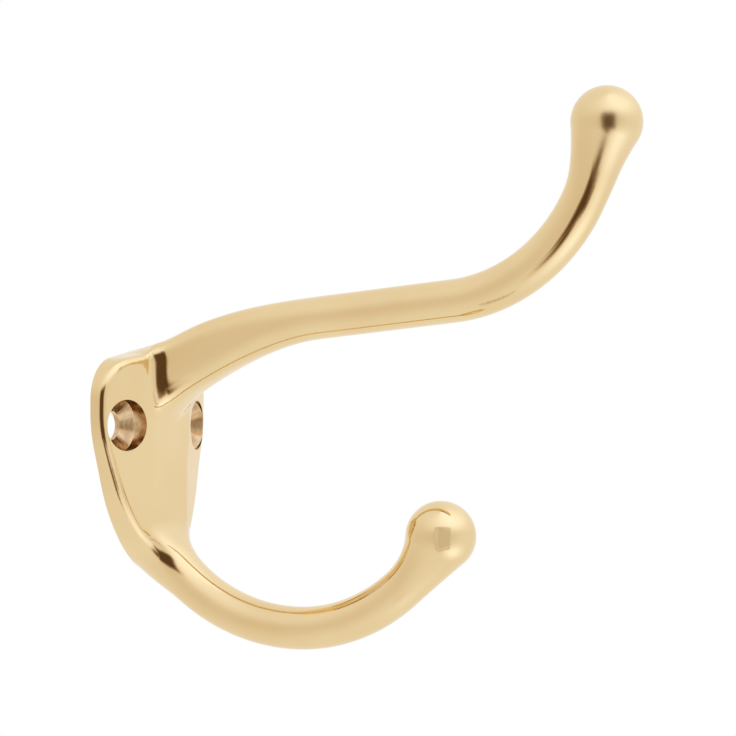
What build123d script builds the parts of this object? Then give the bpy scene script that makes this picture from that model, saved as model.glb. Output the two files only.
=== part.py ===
"""Hat and coat hook, cast in one piece of brass.

Frame: the wall is the plane Y = 0 and the hook stands out from it towards -Y, +Z is up, and the
hook is the same on both sides of X = 0. The origin is midway between the two screw holes, on the
flat back face. Lengths are in millimetres and angles in degrees.
"""

import os
from math import asin, atan, atan2, cos, exp, radians, sin, sqrt, tan

from build123d import *

# Back plate: its outline on the wall
plate_width = 35.0
plate_top = 13.9               # middle of the top edge, above the line of the screws
top_fall = 10.5                # slope of the top edge, down from its middle to each corner
corner_radius = 7.5
knee_height = -1.0             # where the upright sides start to lean in
upper_lean = 20.5              # lean of the sides below the knee, from upright
waist_height = -15.6           # where the sides lean in further, down to the tip
lower_lean = 42.0
knee_radius = 19.0
waist_radius = 34.0
tip_radius = 9.0

# Back plate: its front, a flat down the middle with an ear sloping off on each side
plate_thickness = 5.6
flat_width = 13.0
ear_slope = 15.7
ridge_rounding = 3.0
rim_rounding = 1.2

# Countersunk screw holes, one in each ear
screw_spacing = 24.0
screw_hole_radius = 2.5
screw_head_radius = 4.45
screw_hole_depth = 0.9         # straight bore left behind the cone
cone_angle = 90.0
cutter_overrun = 1.0           # of the hole's cutter, past both faces of the plate

# Both hooks: a round bar that ends in a ball
bar_radius = 3.7
ball_radius = 6.0

# Upper arm: three straights joined by two bends, from the wall out and up to its ball
arm_start_height = 5.2
arm_rise_angle = 35.0          # of the first straight, above level
arm_run_angle = 5.4            # of the second straight
arm_tip_angle = 73.8           # of the last straight, through the ball
arm_knee_reach = 16.5          # where the first two straights would meet
arm_arch_radius = 73.0
arm_sweep_radius = 29.6
arm_ball_reach = 88.8
arm_ball_height = 49.9
arm_neck_radius = 37.0         # hollow curve between the bar and the ball
arm_taper_length = 35.0        # from the wall to where the arm is a plain round bar
arm_full_length = 14.0         # length next to the wall that keeps the full section below
arm_root_width = 8.0
arm_root_rise = 5.1            # height of the root's section above the arm's middle line
arm_root_drop = 4.9            # and its depth below that line
arm_top_flare = 3.4            # further rise that runs the arm's top into the plate's top edge
arm_flare_length = 10.0
arm_flare_curve = 1.2
arm_squareness = 3.0           # of its root, where 2 is a plain ellipse
arm_root_fillet = 2.5

# Lower hook: out of the plate along a bend, then two arcs that meet at its lowest point
hook_reach = 31.3              # of the lowest point of the bar's middle line
hook_depth = 35.0
hook_root_radius = 34.6        # arc on the wall's side of the lowest point
hook_ball_arc_radius = 30.8    # arc on the ball's side
hook_bend_radius = 16.0        # bend from straight down the plate into the first arc
hook_ball_height = -18.7
hook_neck_radius = 25.0
hook_root_start = 2.5          # along the bend, where the root's first section lies in the plate
hook_root_length = 27.5        # from there to where the hook is a plain round bar
hook_root_width = 19.4         # across the first section
hook_width_fade = 5.0          # length over which half of the widening is gone
hook_width_curve = 2.4         # how sharply it goes
hook_top_squareness = 2.6      # of the first section, where 2 is a plain ellipse
hook_foot_squareness = 1.4     # below 2, the underside is a rounded keel
hook_root_rise = 0.7           # thickening of the root's inner side, and the length it fades over
hook_rise_fade = 10.0
hook_emerge_length = 9.0       # over which the inner side comes out of the plate's front
hook_heel_depth = 7.0          # thickening of the root's underside at the first section
hook_heel_length = 14.0

# How the two hooks are drawn
skin = 0.05                    # depth of the hook's root under the plate's front at its start
section_points = 12            # of each oval, all round it
root_step = 3.2                # between the ovals along the arm's root
heel_step = 2.6                # and along the hook's, which turns tighter
neck_steps = 5


def at(out, up, side=0.0):
    """A point from its distance out from the wall, its height and its place across the plate."""
    return Vector(side, -out, up)


def ease(t):
    """A smooth step from 0 to 1, level at both ends."""
    t = min(max(t, 0.0), 1.0)
    return t * t * (3 - 2 * t)


def oval(plane, half_width, rise, drop, top_squareness, foot_squareness):
    """A closed oval face, half_width each side, with a rise above and a drop below its middle.

    A squareness of 2 is a true ellipse, more of it squares the corners and less makes a keel.
    """
    points = []
    for k in range(section_points):
        turn = radians(-90 + 360 * k / section_points)
        squareness = top_squareness if sin(turn) > 0 else foot_squareness
        across = abs(cos(turn)) ** (2 / squareness) * (1 if cos(turn) > 0 else -1)
        along = abs(sin(turn)) ** (2 / squareness)
        height = rise * along if sin(turn) > 0 else -drop * along
        points.append(plane.from_local_coords((half_width * across, height, 0)))
    return Face(Wire(Edge.make_spline(points, periodic=True)))


def disc(plane, radius):
    """A round face that starts at the same place as the ovals do."""
    return Face(Wire(Edge.make_circle(radius, plane, start_angle=-90, end_angle=270)))


def square_to(line, length):
    """The plane across a line at a length along it, with its X across the plate."""
    where = line.position_at(length, PositionMode.LENGTH)
    along = line.tangent_at(length, PositionMode.LENGTH)
    return Plane(origin=where, x_dir=(1, 0, 0), z_dir=along)


def plain_bar(line, start, end):
    """The plain round bar along a part of its line."""
    path = line.wire().trim(start / line.length, end / line.length)
    return sweep(disc(square_to(line, start), bar_radius), path=path)


def neck_start(neck_radius):
    """Distance from the ball's centre at which the hollow neck leaves the plain bar."""
    return sqrt((ball_radius + neck_radius) ** 2 - (bar_radius + neck_radius) ** 2)


def neck_end(neck_radius):
    """Distance from the ball's centre at which the neck runs into the ball."""
    return neck_start(neck_radius) * ball_radius / (ball_radius + neck_radius)


def neck_discs(line, neck_radius):
    """Round sections of the neck, from the plain bar to the ball at the line's end."""
    start, end = neck_start(neck_radius), neck_end(neck_radius)
    discs = []
    for k in range(neck_steps + 1):
        before_ball = start + (end - start) * k / neck_steps
        radius = bar_radius + neck_radius - sqrt(neck_radius**2 - (start - before_ball) ** 2)
        discs.append(disc(square_to(line, line.length - before_ball), radius))
    return discs


def ball_end(line, neck_radius):
    """The part of the ball beyond its neck, centred on the line's end."""
    centre = line.position_at(1)
    along = line.tangent_at(1)
    cut = Plane(origin=centre - along * neck_end(neck_radius), z_dir=along)
    return split(Pos(*centre) * Sphere(ball_radius), bisect_by=cut, keep=Keep.TOP)


def even_lengths(start, end, step):
    """Even lengths from start and up to, but not at, the end, about a step apart."""
    count = max(1, round((end - start) / step))
    return [start + (end - start) * k / count for k in range(count)]


def make_plate():
    """The back plate: its outline standing out from the wall, under the sloping front."""
    half = plate_width / 2
    corner_height = plate_top - half * tan(radians(top_fall))
    waist_half = half - (knee_height - waist_height) * tan(radians(upper_lean))
    point_height = waist_height - waist_half / tan(radians(lower_lean))

    # the corner's rounding takes no more of the upright side than the knee leaves it
    knee_use = knee_radius * tan(radians(upper_lean / 2))
    side_left = 0.95 * (corner_height - knee_height - knee_use)
    corner = min(corner_radius, side_left / tan(radians(90 - top_fall) / 2))
    right = [(half, corner_height), (half, knee_height), (waist_half, waist_height)]
    left = [(-x, z) for x, z in reversed(right)]
    outline = FilletPolyline(
        (0, plate_top),
        *right,
        (0, point_height),
        *left,
        radius=[0, corner, knee_radius, waist_radius, tip_radius, waist_radius, knee_radius, corner],
        close=True,
    )
    block = extrude(make_face(Plane.XZ * outline), plate_thickness, dir=(0, -1, 0))

    # the front, seen from above and drawn a little wider than the plate
    over = half + plate_thickness / 2
    over_thickness = plate_thickness - (over - flat_width / 2) * tan(radians(ear_slope))
    front = FilletPolyline(
        (over, 0),
        (over, -over_thickness),
        (flat_width / 2, -plate_thickness),
        (-flat_width / 2, -plate_thickness),
        (-over, -over_thickness),
        (-over, 0),
        radius=[0, 0, ridge_rounding, ridge_rounding, 0, 0],
        close=True,
    )
    roof = extrude(make_face(front), plate_top - point_height, dir=(0, 0, 1), both=True)
    plate = block & roof

    def on_front_rim(edge):
        middle, along = edge.center(), edge.tangent_at(0.5)
        ridge = abs(along.Z) > 0.999 and abs(middle.X) < flat_width / 2 + ridge_rounding
        return middle.Y < -plate_thickness / 10 and abs(along.Y) < 0.9 and not ridge

    return fillet(plate.edges().filter_by(on_front_rim), rim_rounding)


def arm_middle_line():
    """The middle line of the upper arm, from the wall to the centre of its ball."""
    rise, run, tip = (tan(radians(a)) for a in (arm_rise_angle, arm_run_angle, arm_tip_angle))
    arm_knee_height = arm_start_height + arm_knee_reach * rise
    turn_reach = (
        arm_ball_height - arm_knee_height + arm_knee_reach * run - arm_ball_reach * tip
    ) / (run - tip)
    turn_height = arm_knee_height + (turn_reach - arm_knee_reach) * run
    return FilletPolyline(
        at(0, arm_start_height),
        at(arm_knee_reach, arm_knee_height),
        at(turn_reach, turn_height),
        at(arm_ball_reach, arm_ball_height),
        radius=[arm_arch_radius, arm_sweep_radius],
    )


def arm_root_section(line, length):
    """An oval of the arm's root: upright at the wall, and square to the arm further out."""
    where = line.position_at(length, PositionMode.LENGTH)
    along = line.tangent_at(length, PositionMode.LENGTH)
    lean = atan2(along.Z, -along.Y) * ease(length / arm_full_length)
    plane = Plane(origin=where, x_dir=(1, 0, 0), z_dir=at(cos(lean), sin(lean)))
    full = ease((arm_taper_length - length) / (arm_taper_length - arm_full_length))
    flare = arm_top_flare * max(0, 1 - length / arm_flare_length) ** arm_flare_curve
    squareness = 2 + (arm_squareness - 2) * full
    return oval(
        plane,
        bar_radius + (arm_root_width / 2 - bar_radius) * full,
        bar_radius + (arm_root_rise - bar_radius) * full + flare,
        bar_radius + (arm_root_drop - bar_radius) * full,
        squareness,
        squareness,
    )


def make_arm(line):
    """The upper arm without its ball."""
    root = [arm_root_section(line, length) for length in even_lengths(0, arm_taper_length, root_step)]
    root_end = disc(square_to(line, arm_taper_length), bar_radius)
    bar_end = line.length - neck_start(arm_neck_radius)
    bar = plain_bar(line, arm_taper_length, bar_end)
    return loft([*root, root_end]) + bar + loft(neck_discs(line, arm_neck_radius))


def hook_middle_line():
    """The middle line of the lower hook, from inside the plate to the centre of its ball."""
    mid = plate_thickness / 2
    root_centre = at(hook_reach, hook_root_radius - hook_depth)
    ball_side_centre = at(hook_reach, hook_ball_arc_radius - hook_depth)
    lowest = at(hook_reach, -hook_depth)

    # the bend lies inside the first arc and runs into it without a corner
    bend_slack = hook_root_radius - hook_bend_radius
    join_slope = asin((hook_reach - mid - hook_bend_radius) / bend_slack)
    start = at(mid, root_centre.Z - bend_slack * cos(join_slope))
    join = root_centre - at(sin(join_slope), cos(join_slope)) * hook_root_radius

    # the last arc ends where a straight into the ball, as long as its neck's end, fits
    into_ball = neck_end(hook_neck_radius)
    ball_swing = asin((hook_ball_height - ball_side_centre.Z) / sqrt(hook_ball_arc_radius**2 + into_ball**2))
    swing = ball_swing - atan(into_ball / hook_ball_arc_radius)
    arc_end = ball_side_centre + at(cos(swing), sin(swing)) * hook_ball_arc_radius

    bend = TangentArc(start, join, tangent=(0, 0, -1))
    root_arc = TangentArc(join, lowest, tangent=bend % 1)
    ball_arc = TangentArc(lowest, arc_end, tangent=(0, -1, 0))
    last = Line(arc_end, arc_end + (ball_arc % 1) * into_ball)
    return Wire([bend.edge(), root_arc.edge(), ball_arc.edge(), last.edge()])


def hook_root_section(line, length):
    """An oval of the hook's root, which flares out to the plate's width where the two part."""
    gone = length - hook_root_start
    fade = 1 / (1 + (gone / hook_width_fade) ** hook_width_curve)
    inner = plate_thickness / 2 - skin
    thick = bar_radius + hook_root_rise * exp(-gone / hook_rise_fade)
    heel = hook_heel_depth * max(0, 1 - gone / hook_heel_length) ** 2
    return oval(
        square_to(line, length),
        bar_radius + (hook_root_width / 2 - bar_radius) * fade,
        inner + (thick - inner) * ease(gone / hook_emerge_length),
        bar_radius + heel,
        2 + (hook_top_squareness - 2) * fade,
        2 + (hook_foot_squareness - 2) * fade,
    )


def make_hook(line):
    """The lower hook without its ball."""
    root_end = hook_root_start + hook_root_length
    root = [hook_root_section(line, v) for v in even_lengths(hook_root_start, root_end, heel_step)]
    root.append(disc(square_to(line, root_end), bar_radius))
    bar_end = line.length - neck_start(hook_neck_radius)
    return loft(root) + plain_bar(line, root_end, bar_end) + loft(neck_discs(line, hook_neck_radius))


def make_screw_hole(side):
    """What the countersunk hole on one side takes out of its ear."""
    cone_depth = (screw_head_radius - screw_hole_radius) / tan(radians(cone_angle / 2))
    back, front = -cutter_overrun, plate_thickness + cutter_overrun
    profile = Polyline(
        at(back, 0),
        at(back, 0, screw_hole_radius),
        at(screw_hole_depth, 0, screw_hole_radius),
        at(screw_hole_depth + cone_depth, 0, screw_head_radius),
        at(front, 0, screw_head_radius),
        at(front, 0),
        close=True,
    )
    return Pos(side * screw_spacing / 2, 0, 0) * revolve(make_face(profile), Axis.Y)


def is_foot(edge):
    """Whether an edge of the arm lies where the arm leaves the plate's front or top edge."""
    box = edge.bounding_box()
    return box.max.Y < -skin and box.min.Y > -plate_thickness - skin


arm_line = arm_middle_line()
hook_line = hook_middle_line()

# the arm is rounded into the plate's front before the hook is joined on below it
body = split(make_plate() + make_arm(arm_line), bisect_by=Plane.XZ, keep=Keep.TOP)
arm_side = body.faces().filter_by(GeomType.BSPLINE).sort_by(SortBy.AREA)[-1]
body = fillet(arm_side.edges().filter_by(is_foot), arm_root_fillet)

body = body + split(make_hook(hook_line), bisect_by=Plane.XZ, keep=Keep.TOP)
body = body + ball_end(arm_line, arm_neck_radius) + ball_end(hook_line, hook_neck_radius)
body = body - make_screw_hole(-1) - make_screw_hole(1)

os.makedirs("parts", exist_ok=True)
export_step(body, "parts/coat_hook.step")
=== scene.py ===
import math

import bmesh
import bpy
import numpy as np
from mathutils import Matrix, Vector


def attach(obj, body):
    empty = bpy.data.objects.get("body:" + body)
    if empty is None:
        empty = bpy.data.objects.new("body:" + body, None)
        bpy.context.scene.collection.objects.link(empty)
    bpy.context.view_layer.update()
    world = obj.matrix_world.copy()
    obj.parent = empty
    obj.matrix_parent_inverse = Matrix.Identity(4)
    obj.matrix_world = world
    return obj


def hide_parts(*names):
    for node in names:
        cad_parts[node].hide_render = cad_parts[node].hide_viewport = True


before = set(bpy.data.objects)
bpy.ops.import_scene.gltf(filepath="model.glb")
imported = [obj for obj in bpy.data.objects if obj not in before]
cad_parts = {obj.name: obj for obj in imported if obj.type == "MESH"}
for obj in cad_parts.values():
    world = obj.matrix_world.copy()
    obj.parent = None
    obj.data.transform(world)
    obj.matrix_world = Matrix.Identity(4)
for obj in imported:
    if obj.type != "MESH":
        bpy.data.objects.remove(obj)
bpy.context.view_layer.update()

# ---------------------------------------------------------------------------------------------
# The back plate. The shield of the casting, which two screws pull flat against the wall. A flat
# runs down its middle, an ear slopes off on each side, and its front edge is rounded all the way.

MM = 0.001                      # the form is worked out in mm: x across, out from the wall, and up
PLATE_CORNERS = [(0, 13.9), (-17.5, 10.66), (-17.5, -1.0), (-12.04, -15.6), (0, -28.97)]
PLATE_ROUNDING = [8.0, 7.5, 19.0, 28.0, 11.2]
PLATE_THICKNESS = 5.6
RIM_ROUNDING = 1.6
RIM_BETWEEN = 0.2               # cosine of the turn from the plate's side to its front, about
FLAT_HALF = 6.5                 # half width of the flat down the middle of the plate
FLAT_NARROWING = 0.75           # of each side of the flat, towards its lower end
NARROWING_FROM, NARROWING_RUN = -1.0, 7.0       # where that starts, and over what height
EAR_SLOPE = math.radians(15.7)
EAR_SWELL = 0.07                # thickness that the ears gain for each mm up
SWELL_FROM, SWELL_SOFTNESS = 5.0, 3.0   # the height that it gains from, and how softly it starts
RIDGE_ROUNDING = 3.0


def ease(t):
    """From 0 to 1 as t does, level at both ends."""
    t = np.clip(t, 0, 1)
    return t * t * (3 - 2 * t)


def soft_ramp(t, softness):
    """0 while t is well below 0, and t well above it, with a soft turn between."""
    return (np.hypot(t, softness) + t) / 2


def corner_arc(a, b, between, radius):
    """The points that the rounded corner of two faces is nearest to, and the distance outside it."""
    a, b = a + radius, b + radius
    within = (a > b * between) & (b > a * between)
    arc = np.sqrt(np.maximum(a * a + b * b - 2 * a * b * between, 0) / (1 - between**2))
    return within, arc - radius


def rounded_corner(a, b, between, radius):
    """Distance outside two faces with a rounded corner, from the distances outside each face.

    between is the cosine of the turn from one face to the other.
    """
    within, arc = corner_arc(a, b, between, radius)
    return np.where(within, arc, np.maximum(a, b))


def plate_distance(x, out, up):
    # the outline, from its edges on the left side and the mirror images of the first and last
    x = -np.abs(x)
    edges, mirrored = [], []
    for (x0, z0), (x1, z1) in zip(PLATE_CORNERS, PLATE_CORNERS[1:]):
        length = math.hypot(x1 - x0, z1 - z0)
        across, along = (z1 - z0) / length, (x0 - x1) / length
        edges.append(((x - x0) * across + (up - z0) * along, across, along))
        mirrored.append(((-x - x0) * across + (up - z0) * along, -across, along))
    ring = [mirrored[0], *edges, mirrored[-1]]
    outline = np.max([edge[0] for edge in ring], axis=0)
    for (a, a_across, a_along), (b, b_across, b_along), radius in zip(ring, ring[1:], PLATE_ROUNDING):
        within, arc = corner_arc(a, b, a_across * b_across + a_along * b_along, radius)
        outline = np.where(within, arc, outline)
    # the front, a flat that narrows with the outline, and an ear that slopes off on each side
    flat = out - PLATE_THICKNESS
    narrower = FLAT_NARROWING * ease((NARROWING_FROM - up) / NARROWING_RUN)
    thicker = EAR_SWELL * soft_ramp(up - SWELL_FROM, SWELL_SOFTNESS)
    ear = ((-x - FLAT_HALF + narrower) * math.sin(EAR_SLOPE)
           + (flat - thicker) * math.cos(EAR_SLOPE))
    front = rounded_corner(flat, ear, math.cos(EAR_SLOPE), RIDGE_ROUNDING)
    return rounded_corner(outline, front, RIM_BETWEEN, RIM_ROUNDING)


# ---------------------------------------------------------------------------------------------
# The arm, for a hat. A round bar that rises from the plate, runs out, sweeps up and swells into
# its ball. Cast in one with the plate, it has a deep root that spreads to the ridges of the flat.

BAR = 3.7                       # radius of a plain bar
BALL = 6.0                      # radius of a ball


def walk(start, heading, steps):
    """The middle line of a bar, seen from the side, as straights and arcs that follow on.

    A step is a length and None for a straight, or a radius and a turn in degrees for an arc. Each
    stretch is kept as its start or its arc's centre, the heading there, its length, its radius,
    the side it turns to and the length walked before it.
    """
    place, angle, gone, line = np.array(start, float), math.radians(heading), 0.0, []
    for length, turn in steps:
        if turn is None:
            line.append((place.copy(), angle, length, 0.0, 0.0, gone))
            place = place + length * np.array([math.cos(angle), math.sin(angle)])
            gone += length
        else:
            radius, turn = length, math.radians(turn)
            side = math.copysign(1.0, turn)
            centre = place + side * radius * np.array([-math.sin(angle), math.cos(angle)])
            line.append((centre, angle, radius * abs(turn), radius, side, gone))
            angle += turn
            place = centre - side * radius * np.array([-math.sin(angle), math.cos(angle)])
            gone += radius * abs(turn)
    return line, gone, place


def follow(line, out, up):
    """How far along a middle line each point is, how far above it, and how far past its ends."""
    nearest = np.full(out.shape, np.inf)
    along, above = np.zeros(out.shape), np.zeros(out.shape)
    for place, angle, length, radius, side, gone in line:
        a, b = out - place[0], up - place[1]
        if radius == 0.0:
            ahead, aside = math.cos(angle), math.sin(angle)
            t = a * ahead + b * aside
            high = b * ahead - a * aside
            past = np.maximum(np.maximum(-t, t - length), 0)
        else:
            # the turn made so far, measured from where the arc begins
            start = angle - side * math.pi / 2
            turned = side * (np.arctan2(b, a) - start)
            middle = length / radius / 2
            turned = (turned - middle + math.pi) % (2 * math.pi) - math.pi + middle
            t = turned * radius
            high = side * (radius - np.hypot(a, b))
            over = np.maximum(np.maximum(-turned, turned - length / radius), 0)
            past = np.hypot(a, b) * np.sin(np.minimum(over, math.pi / 2))
        away = np.hypot(high, past)
        near = away < nearest
        nearest = np.where(near, away, nearest)
        along = np.where(near, gone + np.clip(t, 0, length), along)
        above = np.where(near, high, above)
    return along, above, np.sqrt(np.maximum(nearest**2 - above**2, 0))


def oval_distance(x, above, half_width, rise, drop, squareness):
    """Distance outside an oval section: half_width each side, rise above and drop below."""
    high = np.where(above > 0, rise, drop)
    across, up = np.abs(x) / half_width, np.abs(above) / high
    size = np.maximum((across**squareness + up**squareness) ** (1 / squareness), 1e-6)
    return np.hypot(x, above) * (1 - 1 / size)


def neck_radius(before_ball, hollow):
    """Radius of a bar as it swells into its ball along a hollow curve."""
    start = math.sqrt((BALL + hollow) ** 2 - (BAR + hollow) ** 2)
    end = start * BALL / (BALL + hollow)
    into = start - np.clip(before_ball, end, start)
    return BAR + hollow - np.sqrt(hollow**2 - into**2)


# its line: rise over the plate, a long run out, a sweep up and the last straight
ARM, ARM_LENGTH, ARM_BALL = walk((-3.0, 3.1), 35.0, [
    (4.518, None), (73.0, -29.6), (25.32, None), (29.6, 68.4), (8.06, None)])
ARM_WALL = 3.662                # length of it behind the wall
ARM_HOLLOW = 37.0               # radius of the hollow of its neck
ROUND_FROM, OVAL_RUN = 38.0, 26.0       # round from here on, and fully oval this much before
OVAL_WIDTH, OVAL_HEIGHT = 0.3, 1.4      # what the full oval adds at each side, and above and below
FLARE, FLARE_LENGTH, FLARE_CURVE = 2.5, 12.5, 1.25      # of its top, towards the plate
ROOT_RISE = 0.62                # of the root, for each mm off the plate
SIDE_LOW, SIDE_LOW_FADE = 0.4, 2.6      # lower edge of the root's side, and the height it fades in
SIDE_HIGH, SIDE_HIGH_FADE = 12.6, 3.0   # upper edge of it, and the height over which it fades out
SPREAD, SPREAD_REACH = 1.5, 6.5         # of the side at the plate, and how far off it fades
LEAN, LEAN_FROM, LEAN_RUN = 0.9, 4.5, 6.5       # what the spread gains further up the side
TOE_SLOPE, TOE_REACH, TOE_SOFTNESS = 0.4, 2.1, 0.4      # of the last widening, close to the plate
SAG, SAG_REACH = 1.5, 3.5       # of the underside at the plate, and how far off it fades
SQUARER, SQUARER_REACH = 1.2, 4.0       # of the section at the plate, and how far off it fades


def arm_distance(x, out, up):
    along, above, past = follow(ARM, out, up)
    along = along - ARM_WALL
    round_bar = neck_radius(ARM_LENGTH - ARM_WALL - along, ARM_HOLLOW)
    oval = ease((ROUND_FROM - along) / OVAL_RUN)
    flare = FLARE * np.maximum(0, 1 - along / FLARE_LENGTH) ** FLARE_CURVE
    # the sides of the root spread to the ridges of the plate, over the height of its side
    off = np.maximum(out - PLATE_THICKNESS, 0)
    level = up - ROOT_RISE * off
    side = ease((level - SIDE_LOW) / SIDE_LOW_FADE) * (1 - ease((level - SIDE_HIGH) / SIDE_HIGH_FADE))
    lean = LEAN * np.clip((level - LEAN_FROM) / LEAN_RUN, 0, 1)
    toe = TOE_SLOPE * soft_ramp(TOE_REACH - off, TOE_SOFTNESS)
    spread = ((SPREAD + lean) * np.exp(-off / SPREAD_REACH) + toe) * side
    sag = SAG * np.exp(-off / SAG_REACH)
    d = oval_distance(x, above, round_bar + OVAL_WIDTH * oval + spread,
                      round_bar + OVAL_HEIGHT * oval + flare, round_bar + OVAL_HEIGHT * oval + sag,
                      2 + oval + SQUARER * side * np.exp(-off / SQUARER_REACH))
    return np.where(past > 0, np.hypot(np.maximum(d, 0), past), d)


# ---------------------------------------------------------------------------------------------
# The hook, for a coat. A shorter bar that leaves the lower end of the plate, curls round below
# the arm and swells into its ball. Its root is broad, with a thick heel towards the wall.

# its line: down inside the plate, a bend out of it and two arcs up to its ball
HOOK, HOOK_LENGTH, HOOK_BALL = walk((2.8, -10.17), -90.0, [
    (4.0, None), (16.0, 47.77), (34.6, 42.23), (30.8, 57.79), (2.268, None)])
HOOK_BEND = 4.0                 # length of it above the bend
HOOK_HOLLOW = 25.0              # radius of the hollow of its neck
BROAD, BROAD_LENGTH = 4.9, 8.3          # of each side of the root, and how far past the bend it fades
HEEL, HEEL_LENGTH = 7.4, 14.5           # of the root's underside, and how far it tapers
CREST, CREST_LENGTH = 0.75, 10.0        # of the root's top, and how far it fades
TAPER_FROM = 2.0                # length past the bend where the heel and the crest begin to go
LEAVES_PLATE, LEAVING_RUN = 3.0, 9.0    # where its top begins to leave the plate, and for how long
UNDER_FRONT = 0.03              # depth of its top under the plate's front before that
TUCK, TUCK_FROM, TUCK_RUN = 1.8, 2.5, 6.0       # how much deeper its top goes further up
TOP_SQUARER, HEEL_KEENER = 0.5, 0.6     # how far the root's section departs from an ellipse


def hook_distance(x, out, up):
    along, above, past = follow(HOOK, out, up)
    round_bar = neck_radius(HOOK_LENGTH - along, HOOK_HOLLOW)
    bent = along - HOOK_BEND
    tapered = np.maximum(bent - TAPER_FROM, 0)
    root = 1 / (1 + (np.maximum(bent, 0) / BROAD_LENGTH) ** 4)
    inside = PLATE_THICKNESS / 2 - UNDER_FRONT - TUCK * ease((TUCK_FROM - bent) / TUCK_RUN)
    outside = round_bar + CREST * np.exp(-tapered / CREST_LENGTH)
    leaving = ease((bent - LEAVES_PLATE) / LEAVING_RUN)
    rise = inside * (1 - leaving) + outside * leaving
    drop = round_bar + HEEL * np.maximum(0, 1 - tapered / HEEL_LENGTH) ** 2
    squareness = np.where(above > 0, 2 + TOP_SQUARER * root, 2 - HEEL_KEENER * root)
    d = oval_distance(x, above, round_bar + BROAD * root, rise, drop, squareness)
    return np.where(past > 0, np.hypot(np.maximum(d, 0), past), d)


# ---------------------------------------------------------------------------------------------
# The casting. Plate, arm, hook and balls are poured as one piece of yellow brass, sand cast and
# polished all over. The pattern maker's fillets round every joint, so the skin has no break.

ARM_FILLET, HOOK_FILLET = 3.6, 4.0
SIDE_FILLET_LESS = 1.8          # how much smaller the fillet is at the sides of the arm's root
FILLET_FRONT, FILLET_RUN = 4.5, 3.0     # behind this, out from the wall, the hook's fills out
# where the form is sampled round each point, in mm, to find the way straight out of it
PROBES = 1e-3 * np.array([(0, 0, 0), (1, 0, 0), (-1, 0, 0), (0, 1, 0), (0, -1, 0), (0, 0, 1), (0, 0, -1)])


def ball_distance(x, out, up):
    upper = np.sqrt(x**2 + (out - ARM_BALL[0]) ** 2 + (up - ARM_BALL[1]) ** 2)
    lower = np.sqrt(x**2 + (out - HOOK_BALL[0]) ** 2 + (up - HOOK_BALL[1]) ** 2)
    return np.minimum(upper, lower) - BALL


def melt(a, b, width):
    """The union of two forms, with a fillet about as wide as width where they meet."""
    t = np.clip(0.5 + 0.5 * (b - a) / np.maximum(width, 1e-3), 0, 1)
    return b * (1 - t) + a * t - width * t * (1 - t)


def slope_of(near):
    """The direction in which a distance grows fastest, from what it is at each of the probes."""
    slope = np.stack([near[1] - near[2], near[3] - near[4], near[5] - near[6]], axis=1)
    return slope / np.maximum(np.linalg.norm(slope, axis=1), 1e-9)[:, None]


def skin_of_casting(points):
    """Distance of each point outside the casting, and the direction straight out of it."""
    near = [[form(*(points + probe).T) for probe in PROBES] for form in
            (plate_distance, arm_distance, hook_distance, ball_distance)]
    plate_slope, arm_slope, hook_slope = [slope_of(form) for form in near[:3]]
    # forms that lie along each other need no fillet, and those that cross need all of it
    arm_crossing = np.sqrt((1 - (plate_slope * arm_slope).sum(1)) / 2)
    hook_crossing = np.sqrt((1 - (plate_slope * hook_slope).sum(1)) / 2)
    arm_width = (ARM_FILLET - SIDE_FILLET_LESS * np.abs(arm_slope[:, 0])) * arm_crossing
    fuller = ease((FILLET_FRONT - points[:, 1]) / FILLET_RUN)
    hook_width = HOOK_FILLET * hook_crossing ** (1 - 0.5 * fuller)
    whole = []
    for plate, arm, hook, ball in zip(*near):
        joined = melt(melt(plate, arm, arm_width), hook, hook_width)
        whole.append(np.minimum(joined, ball))
    return whole[0], slope_of(whole)


# the blank: the solid, carried on behind the wall and with its screw holes plugged
HEAD_RADIUS = 4.45              # of a screw's seat
SCREW_SPACING = 24.0
PLUG_SPARE = 0.25               # how much wider a plug is than the seat that it fills
BEHIND = 1.5                    # how far the blank runs on behind the wall
VOXEL = 0.42                    # size of the skin's mesh
blank = bmesh.new()
blank.from_mesh(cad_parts["coat_hook"].data)
bmesh.ops.remove_doubles(blank, verts=blank.verts, dist=1e-6)
for vertex in blank.verts:
    if vertex.co.y > -1e-6:
        vertex.co.y = BEHIND * MM
for side in (-1, 1):
    plug_radius = (HEAD_RADIUS + PLUG_SPARE) * MM
    plug = bmesh.ops.create_cone(blank, cap_ends=True, segments=64, depth=2.0,
                                 radius1=plug_radius, radius2=plug_radius)
    for vertex in plug["verts"]:
        x, z, front = vertex.co.x + side * SCREW_SPACING / 2 * MM, vertex.co.y, vertex.co.z > 0
        ear = (PLATE_THICKNESS - (abs(x) / MM - FLAT_HALF) * math.tan(EAR_SLOPE)) * MM
        vertex.co = (x, -ear if front else BEHIND * MM, z)
bmesh.ops.recalc_face_normals(blank, faces=blank.faces)
blank_mesh = bpy.data.meshes.new("blank")
blank.to_mesh(blank_mesh)
blank.free()
blank_piece = bpy.data.objects.new("blank", blank_mesh)
bpy.context.scene.collection.objects.link(blank_piece)
remesh = blank_piece.modifiers.new("even_skin", "REMESH")
remesh.mode, remesh.voxel_size, remesh.adaptivity = "VOXEL", VOXEL * MM, 0.0
skin = bpy.data.meshes.new_from_object(
    blank_piece.evaluated_get(bpy.context.evaluated_depsgraph_get()))
bpy.data.objects.remove(blank_piece)

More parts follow.
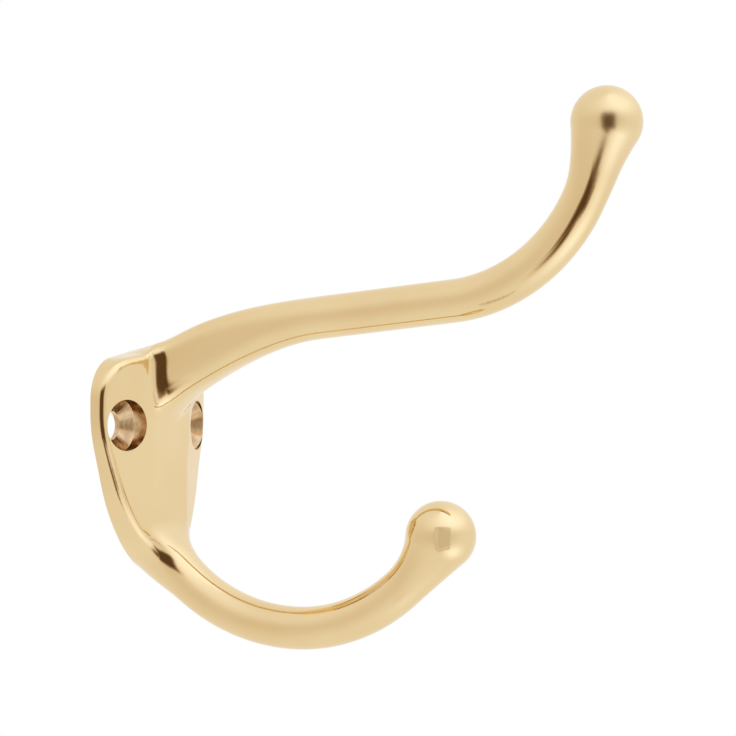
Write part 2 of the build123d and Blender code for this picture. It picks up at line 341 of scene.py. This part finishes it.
# the skin is drawn onto the form, and its points are spread evenly over it
PULLS, SPREADS = 6, 4           # turns that draw it in, and those of them that spread its points
count = len(skin.vertices)
places = np.empty(count * 3)
skin.vertices.foreach_get("co", places)
points = places.reshape(-1, 3) / MM * (1, -1, 1)
pairs = np.empty(len(skin.edges) * 2, int)
skin.edges.foreach_get("vertices", pairs)
pairs = pairs.reshape(-1, 2)
one, other = np.concatenate([pairs, pairs[:, ::-1]]).T
neighbours = np.bincount(one, minlength=count)
back = (points[:, 1] < -0.6 * BEHIND)[:, None]
for turn in range(PULLS):
    distance, outward = skin_of_casting(points)
    step = np.clip(distance, -1.0, 1.0)[:, None] * outward
    # the back stays in its plane, and well inside its outline it doesn't move at all
    step[:, 1:2] = np.where(back, 0, step[:, 1:2])
    well_inside = (distance < -0.3)[:, None]
    points = points - np.where(back & well_inside, 0, step)
    if turn < SPREADS:
        totals = [np.bincount(one, points[other, axis], count) for axis in range(3)]
        shift = np.stack(totals, axis=1) / neighbours[:, None] - points
        shift -= (shift * outward).sum(1)[:, None] * outward
        points = points + np.where(back, 0, 0.5 * shift)
skin.vertices.foreach_set("co", (points * (1, -1, 1) * MM).ravel())

# the back is ground flat, in the plane of the wall
cut = bmesh.new()
cut.from_mesh(skin)
bmesh.ops.bisect_plane(cut, geom=cut.verts[:] + cut.edges[:] + cut.faces[:], dist=1e-7,
                       plane_co=(0, 0, 0), plane_no=(0, 1, 0), clear_outer=True)
bmesh.ops.holes_fill(cut, edges=[e for e in cut.edges if e.is_boundary], sides=0)
cut.to_mesh(skin)
cut.free()
hook_piece = bpy.data.objects.new("cast_hook", skin)
bpy.context.scene.collection.objects.link(hook_piece)


# ---------------------------------------------------------------------------------------------
# The finishes. The skin is brass buffed to a mirror, still faintly wavy from the mould and the
# mop, and duller on the upper ball, where hats and hands wear it. The screw seats are cut on a
# drill press after that, and keep their tool marks. Their brass is given a darker, browner
# colour, which is painted shade of the recess.

def material(name):
    made = bpy.data.materials.new(name)
    made.use_nodes = True
    nodes, links = made.node_tree.nodes, made.node_tree.links
    return made, nodes, links, nodes["Principled BSDF"]


def noise(nodes, links, scale, detail=2.0, stretch=(1, 1, 1)):
    """A noise on the piece's own coordinates, stretched along one of its axes."""
    place = nodes.new("ShaderNodeTexCoord")
    mapping = nodes.new("ShaderNodeMapping")
    mapping.inputs["Scale"].default_value = stretch
    links.new(place.outputs["Object"], mapping.inputs["Vector"])
    made = nodes.new("ShaderNodeTexNoise")
    made.inputs["Scale"].default_value = scale
    made.inputs["Detail"].default_value = detail
    links.new(mapping.outputs["Vector"], made.inputs["Vector"])
    return made.outputs["Fac"]


def graded(nodes, links, source, low, high, first, last):
    """A colour that runs from first to last as source goes from low to high."""
    ramp = nodes.new("ShaderNodeValToRGB")
    ramp.color_ramp.elements[0].position, ramp.color_ramp.elements[1].position = low, high
    ramp.color_ramp.elements[0].color, ramp.color_ramp.elements[1].color = first, last
    links.new(source, ramp.inputs["Fac"])
    return ramp.outputs["Color"]


def grey(value):
    return value, value, value, 1


def bump(nodes, links, height, depth, strength, under=None):
    made = nodes.new("ShaderNodeBump")
    made.inputs["Strength"].default_value = strength
    made.inputs["Distance"].default_value = depth
    links.new(height, made.inputs["Height"])
    if under is not None:
        links.new(under, made.inputs["Normal"])
    return made.outputs["Normal"]


brass, nodes, links, shader = material("polished_brass")
shader.inputs["Metallic"].default_value = 1.0
tone = graded(nodes, links, noise(nodes, links, scale=60.0), low=0.35, high=0.65,
              first=(0.800, 0.610, 0.330, 1), last=(0.835, 0.650, 0.370, 1))
links.new(tone, shader.inputs["Base Color"])
mop_marks = graded(nodes, links, noise(nodes, links, scale=140.0, detail=3.0), low=0.4, high=0.7,
                   first=grey(0.06), last=grey(0.09))

# worn all over the upper ball, and less and less down its neck
WORN_ALL, WORN_NONE = 6.2 * MM, 9.5 * MM        # from the middle of the ball
place = nodes.new("ShaderNodeTexCoord")
from_ball = nodes.new("ShaderNodeVectorMath")
from_ball.operation = "DISTANCE"
from_ball.inputs[1].default_value = (0, -ARM_BALL[0] * MM, ARM_BALL[1] * MM)
links.new(place.outputs["Object"], from_ball.inputs[0])
worn = graded(nodes, links, from_ball.outputs["Value"], low=WORN_ALL, high=WORN_NONE,
              first=grey(0.23), last=grey(0.0))
dull = nodes.new("ShaderNodeMath")
dull.operation = "ADD"
links.new(mop_marks, dull.inputs[0])
links.new(worn, dull.inputs[1])
links.new(dull.outputs[0], shader.inputs["Roughness"])
wavy = bump(nodes, links, noise(nodes, links, scale=110.0, detail=1.0), depth=0.0002, strength=0.25)
mopped = bump(nodes, links, noise(nodes, links, scale=2500.0, stretch=(1, 0.08, 1)),
              depth=0.00001, strength=0.2, under=wavy)
links.new(mopped, shader.inputs["Normal"])

turned, nodes, links, shader = material("turned_brass_painted_shade")
shader.inputs["Metallic"].default_value = 1.0
# the seats' base colour runs darker and browner than the skin's: painted shade in the recess of each seat
tone = graded(nodes, links, noise(nodes, links, scale=500.0), low=0.3, high=0.7,
              first=(0.48, 0.30, 0.15, 1), last=(0.72, 0.52, 0.30, 1))
links.new(tone, shader.inputs["Base Color"])
tool_marks = graded(nodes, links, noise(nodes, links, scale=1500.0), low=0.3, high=0.7,
                    first=grey(0.1), last=grey(0.18))
links.new(tool_marks, shader.inputs["Roughness"])
torn = bump(nodes, links, noise(nodes, links, scale=4000.0), depth=0.00002, strength=0.3)
links.new(torn, shader.inputs["Normal"])

hook_piece.data.materials.append(brass)


# ---------------------------------------------------------------------------------------------
# The screw holes. Each is drilled through an ear and countersunk for the cone of a wood screw's
# head, with a stepped cutter that leaves a set of fine rings round the seat.

BORE_RADIUS = 2.5
SEAT_DEPTH = 0.9                # of straight bore left behind each seat
OVERRUN = 6.0                   # how far the cutter runs on, in front of the seat and behind the bore
RING_DEPTH = 0.02
RINGS = 24                      # slices of the seat's cone; every other edge between them is a groove
EDGE_TURN = math.radians(38)    # the surface keeps an edge where it turns by more than this

tree = bpy.data.node_groups.new("countersunk_holes", "GeometryNodeTree")
tree.interface.new_socket("Casting", in_out="INPUT", socket_type="NodeSocketGeometry")
sizes = {
    "Spacing": SCREW_SPACING * MM,
    "Bore Radius": BORE_RADIUS * MM,
    "Seat Radius": HEAD_RADIUS * MM,
    "Bore Depth": SEAT_DEPTH * MM,
    "Cone Depth": (HEAD_RADIUS - BORE_RADIUS) * MM,
    "Overrun": OVERRUN * MM,
    "Ring Depth": RING_DEPTH * MM,
}
for name, value in sizes.items():
    socket = tree.interface.new_socket(name, in_out="INPUT", socket_type="NodeSocketFloat")
    socket.default_value = value
seat_metal = tree.interface.new_socket("Seat Metal", in_out="INPUT", socket_type="NodeSocketMaterial")
tree.interface.new_socket("Casting", in_out="OUTPUT", socket_type="NodeSocketGeometry")
given = tree.nodes.new("NodeGroupInput")


def node(kind, wires=None, **settings):
    made = tree.nodes.new(kind)
    for key, value in settings.items():
        setattr(made, key, value)
    for key, value in (wires or {}).items():
        if isinstance(value, bpy.types.NodeSocket):
            tree.links.new(value, made.inputs[key])
        else:
            made.inputs[key].default_value = value
    return made


def sums(kind, *values):
    return node("ShaderNodeMath", dict(enumerate(values)), operation=kind).outputs[0]


# the cutter starts as a cylinder in even slices. Edge 0 is its back end, edges 1 to RINGS + 1 lie
# along the cone, and the last edge is its front end. Each edge is moved to its depth and radius.
slices = RINGS + 2
stock = node("GeometryNodeMeshCylinder", {"Vertices": 128, "Side Segments": slices, "Radius": 1.0,
                                          "Depth": float(slices)})
where = node("ShaderNodeSeparateXYZ", {0: node("GeometryNodeInputPosition").outputs[0]})
edge_at = sums("ADD", where.outputs["Z"], slices / 2)
along_cone = node("ShaderNodeMapRange", {"Value": edge_at, "From Min": 1.0, "From Max": RINGS + 1.0})
deep = sums("MULTIPLY_ADD", along_cone.outputs[0], given.outputs["Cone Depth"],
            given.outputs["Bore Depth"])
past_front = sums("MULTIPLY", sums("GREATER_THAN", edge_at, RINGS + 1.5), given.outputs["Overrun"])
past_back = sums("MULTIPLY", sums("LESS_THAN", edge_at, 0.5), given.outputs["Overrun"])
depth = sums("SUBTRACT", sums("ADD", deep, past_front), past_back)
taper = node("ShaderNodeMapRange", {"Value": along_cone.outputs[0],
                                    "To Min": given.outputs["Bore Radius"],
                                    "To Max": given.outputs["Seat Radius"]})
odd = sums("MODULO", sums("ROUND", edge_at), 2.0)
inner = sums("MULTIPLY", sums("GREATER_THAN", edge_at, 1.5), sums("LESS_THAN", edge_at, RINGS + 0.5))
groove = sums("MULTIPLY", sums("MULTIPLY", odd, inner), given.outputs["Ring Depth"])
radius = sums("SUBTRACT", taper.outputs[0], groove)
spun = node("ShaderNodeCombineXYZ", {"X": sums("MULTIPLY", where.outputs["X"], radius),
                                     "Y": sums("MULTIPLY", depth, -1.0),
                                     "Z": sums("MULTIPLY", where.outputs["Y"], radius)})
cutter = node("GeometryNodeSetPosition", {"Geometry": stock.outputs["Mesh"],
                                          "Position": spun.outputs[0]})
marked = node("GeometryNodeStoreNamedAttribute",
              {"Geometry": cutter.outputs[0], "Name": "turned", "Value": True},
              data_type="BOOLEAN", domain="FACE")
first = node("ShaderNodeCombineXYZ", {"X": sums("MULTIPLY", given.outputs["Spacing"], -0.5)})
apart = node("ShaderNodeCombineXYZ", {"X": given.outputs["Spacing"]})
centres = node("GeometryNodeMeshLine", {"Count": 2, "Start Location": first.outputs[0],
                                        "Offset": apart.outputs[0]})
cutters = node("GeometryNodeInstanceOnPoints", {"Points": centres.outputs[0],
                                                "Instance": marked.outputs[0]})
real = node("GeometryNodeRealizeInstances", {"Geometry": cutters.outputs[0]})
drilled = node("GeometryNodeMeshBoolean", {"Mesh 1": given.outputs["Casting"],
                                           "Mesh 2": real.outputs[0]},
               operation="DIFFERENCE", solver="EXACT")
whole = node("GeometryNodeRealizeInstances", {"Geometry": drilled.outputs[0]})
is_turned = node("GeometryNodeInputNamedAttribute", {"Name": "turned"}, data_type="BOOLEAN")
finished = node("GeometryNodeSetMaterial", {"Geometry": whole.outputs[0],
                                            "Selection": is_turned.outputs[0],
                                            "Material": given.outputs["Seat Metal"]})
tree.links.new(finished.outputs[0], node("NodeGroupOutput").inputs[0])

drilling = hook_piece.modifiers.new("drilling", "NODES")
drilling.node_group = tree
drilling[seat_metal.identifier] = turned
bpy.context.view_layer.update()
drilled_mesh = bpy.data.meshes.new_from_object(
    hook_piece.evaluated_get(bpy.context.evaluated_depsgraph_get()))
hook_piece.modifiers.remove(drilling)
hook_piece.data = drilled_mesh

# the polished skin is smooth, and each turned facet keeps its own flat gleam
drilled_mesh.shade_smooth()
drilled_mesh.set_sharp_from_angle(angle=EDGE_TURN)
for face in drilled_mesh.polygons:
    if drilled_mesh.materials[face.material_index] == turned:
        face.use_smooth = False
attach(hook_piece, "root")
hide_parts("coat_hook")


# ---------------------------------------------------------------------------------------------
# The studio. A white tent with a bright panel above and one below, on the wall's side of the
# lens, and a soft brown gap where the lens looks in. Polished metal mirrors all of it, so the
# tent is drawn by direction in the world, over a pale floor.

def paint(name, colour):
    """A dull paint, for what stands round the casting."""
    made, _, _, plain = material(name)
    plain.inputs["Base Color"].default_value = (*colour, 1)
    plain.inputs["Roughness"].default_value = 0.9
    plain.inputs["Specular IOR Level"].default_value = 0.0
    return made


FLOOR_HEIGHT, FLOOR_HALF = -0.45, 1.2   # in the frame's metres, as the lens's place is
floor_mesh = bpy.data.meshes.new("floor")
floor_mesh.from_pydata([(x * FLOOR_HALF, y * FLOOR_HALF, FLOOR_HEIGHT) for x, y in
                        ((-1, -1), (1, -1), (1, 1), (-1, 1))], [], [(0, 1, 2, 3)])
floor_mesh.materials.append(paint("pale_floor", (0.82, 0.82, 0.81)))
floor = bpy.data.objects.new("floor", floor_mesh)
bpy.context.scene.collection.objects.link(floor)
floor.visible_glossy = False

aim = Vector((0, -0.0448, 0.0098))
lens_at = Vector((-0.44596, -0.27066, 0.00014))
towards = (lens_at - aim).normalized()
beside = Vector((0, 0, 1)).cross(towards).normalized()
upward = towards.cross(beside).normalized()

# a pale card close to the lower ball hides the gap from it, and a darker mark lies on the card.
# Their corners are in mm to the right of the ball's middle and above it, as the lens sees them
CARD = ((-8.0, -16.5), (11.5, -16.5), (11.5, 12.0), (-8.0, 12.0))
MARK = ((-3.1, -11.2), (9.1, -8.7), (9.1, 5.9), (-3.1, 11.7))
CARD_OFF, MARK_OFF = 21.0, 20.0         # from the ball's middle towards the lens
ball_at = Vector((0, -HOOK_BALL[0], HOOK_BALL[1]))
corners = [(ball_at + towards * off + beside * right + upward * above) * MM
           for outline, off in ((CARD, CARD_OFF), (MARK, MARK_OFF)) for right, above in outline]
card_mesh = bpy.data.meshes.new("card")
card_mesh.from_pydata(corners, [], [(0, 1, 2, 3), (4, 5, 6, 7)])
card_mesh.materials.append(paint("card", (0.98, 0.98, 0.97)))
card_mesh.materials.append(paint("mark_on_card", (0.90, 0.87, 0.81)))
card_mesh.polygons[1].material_index = 1
card = bpy.data.objects.new("card", card_mesh)
bpy.context.scene.collection.objects.link(card)
for kind in ("camera", "diffuse", "shadow", "transmission", "volume_scatter"):
    setattr(card, "visible_" + kind, False)

world = bpy.data.worlds.new("tent")
world.use_nodes = True
bpy.context.scene.world = world
sky = world.node_tree


def tent(kind, *values):
    """A math node of the tent's pattern."""
    made = sky.nodes.new("ShaderNodeMath")
    made.operation = kind
    for place, value in enumerate(values):
        if isinstance(value, bpy.types.NodeSocket):
            sky.links.new(value, made.inputs[place])
        else:
            made.inputs[place].default_value = value
    return made.outputs[0]


def tent_axis(axis):
    """How far the direction looked at points along an axis, from -1 to 1."""
    made = sky.nodes.new("ShaderNodeVectorMath")
    made.operation = "DOT_PRODUCT"
    sky.links.new(direction, made.inputs[0])
    made.inputs[1].default_value = axis
    return made.outputs["Value"]


def smooth(value, start, end):
    """From 0 at start to 1 at end, in degrees, level at both."""
    made = sky.nodes.new("ShaderNodeMapRange")
    made.interpolation_type = "SMOOTHSTEP"
    sky.links.new(value, made.inputs["Value"])
    made.inputs["From Min"].default_value = min(start, end)
    made.inputs["From Max"].default_value = max(start, end)
    made.inputs["To Min"].default_value = 0.0 if start < end else 1.0
    made.inputs["To Max"].default_value = 1.0 if start < end else 0.0
    return made.outputs["Result"]


def bell(value, centre, width):
    """A soft hump, 1 at the centre and 0.37 a width away from it, in degrees."""
    off = tent("DIVIDE", tent("SUBTRACT", value, centre), width)
    return tent("EXPONENT", tent("MULTIPLY", tent("MULTIPLY", off, off), -1.0))


# a direction is told by its degrees around from the lens and its degrees of height
direction = sky.nodes.new("ShaderNodeTexCoord").outputs["Generated"]
around = tent("DEGREES", tent("ARCTAN2", tent_axis(beside), tent_axis(towards)))
height = tent("DEGREES", tent("ARCSINE", tent_axis((0, 0, 1))))

# the tent's white, with the cooler light of the panels, and a little dimmer on the far side
TENT_WHITE = 0.975
PANEL_LIGHT = (0.33, 0.42, 0.62)
DIMMING = (-0.11, -0.16, -0.22)
panel_above = tent("MULTIPLY", bell(around, centre=48.0, width=78.0),
                   smooth(height, start=4.0, end=42.0))
panel_below = tent("MULTIPLY", bell(around, centre=52.0, width=40.0),
                   bell(height, centre=-47.0, width=20.0))
panels = tent("ADD", panel_above, panel_below)
dim_side = tent("MULTIPLY", bell(around, centre=-72.0, width=62.0),
                bell(height, centre=-4.0, width=38.0))
lit = sky.nodes.new("ShaderNodeCombineXYZ")
for channel, (panel_light, dimming) in enumerate(zip(PANEL_LIGHT, DIMMING)):
    white_here = tent("MULTIPLY_ADD", dim_side, dimming, TENT_WHITE)
    sky.links.new(tent("MULTIPLY_ADD", panels, panel_light, white_here), lit.inputs[channel])

# the gap is a rounded opening with a foot below it, in a faint halo of the room behind the lens
HALO = 0.36
gap_across = tent("MULTIPLY", smooth(around, start=-31.0, end=-13.0),
                  smooth(around, start=35.0, end=14.0))
gap_up = tent("MULTIPLY", smooth(height, start=-36.0, end=-22.0),
              smooth(height, start=34.0, end=13.0))
gap_foot = tent("MULTIPLY", bell(around, centre=-4.0, width=13.0),
                bell(height, centre=-31.0, width=15.0))
opening = tent("MAXIMUM", tent("MULTIPLY", gap_across, gap_up), gap_foot)
halo = tent("MULTIPLY", bell(around, centre=6.0, width=40.0), bell(height, centre=0.0, width=28.0))
gap = tent("MAXIMUM", opening, tent("MULTIPLY", halo, HALO))
gap_colour = sky.nodes.new("ShaderNodeValToRGB")
stops = gap_colour.color_ramp.elements
stops[0].position, stops[0].color = 0.0, (1, 1, 1, 1)
stops[1].position, stops[1].color = 1.0, (0.12, 0.07, 0.035, 1)
for position, colour in ((0.3, (0.84, 0.79, 0.73, 1)), (0.6, (0.47, 0.36, 0.27, 1))):
    stops.new(position).color = colour
sky.links.new(gap, gap_colour.inputs["Fac"])
shown = sky.nodes.new("ShaderNodeVectorMath")
shown.operation = "MULTIPLY"
sky.links.new(gap_colour.outputs["Color"], shown.inputs[0])
sky.links.new(lit.outputs[0], shown.inputs[1])

# only glossy metal mirrors the pattern, and the ground behind the casting is plain white
plain_light = sky.nodes["Background"]
plain_light.inputs["Color"].default_value = grey(0.86)
white = sky.nodes.new("ShaderNodeBackground")
white.inputs["Color"].default_value = (1, 1, 1, 1)
mirrored = sky.nodes.new("ShaderNodeBackground")
sky.links.new(shown.outputs[0], mirrored.inputs["Color"])
ray = sky.nodes.new("ShaderNodeLightPath")
seen = tent("MAXIMUM", ray.outputs["Is Camera Ray"], ray.outputs["Is Transmission Ray"])
around_it = sky.nodes.new("ShaderNodeMixShader")
sky.links.new(seen, around_it.inputs[0])
sky.links.new(plain_light.outputs[0], around_it.inputs[1])
sky.links.new(white.outputs[0], around_it.inputs[2])
in_metal = sky.nodes.new("ShaderNodeMixShader")
sky.links.new(ray.outputs["Is Glossy Ray"], in_metal.inputs[0])
sky.links.new(around_it.outputs[0], in_metal.inputs[1])
sky.links.new(mirrored.outputs[0], in_metal.inputs[2])
sky.links.new(in_metal.outputs[0], sky.nodes["World Output"].inputs["Surface"])


def soft_box(name, place, size, power):
    lamp = bpy.data.lights.new(name, "AREA")
    lamp.shape, lamp.size, lamp.energy = "SQUARE", size, power
    made = bpy.data.objects.new(name, lamp)
    bpy.context.scene.collection.objects.link(made)
    made.location = place
    made.rotation_euler = (aim - Vector(place)).to_track_quat("-Z", "Y").to_euler()
    made.visible_camera = False
    made.visible_glossy = False


soft_box("soft_box_above", (-0.5, -0.5, 0.9), size=0.7, power=3.0)
soft_box("soft_box_side", (0.7, -0.8, 0.3), size=0.6, power=1.6)

lens = bpy.data.cameras.new("camera")
lens.sensor_width, lens.lens = 36.0, 143.1
lens.clip_start, lens.clip_end = 0.01, 20.0
camera = bpy.data.objects.new("camera", lens)
bpy.context.scene.collection.objects.link(camera)
camera.location = lens_at
camera.rotation_euler = (aim - lens_at).to_track_quat("-Z", "Y").to_euler()
bpy.context.scene.camera = camera
bpy.context.scene.view_settings.view_transform = "Standard"
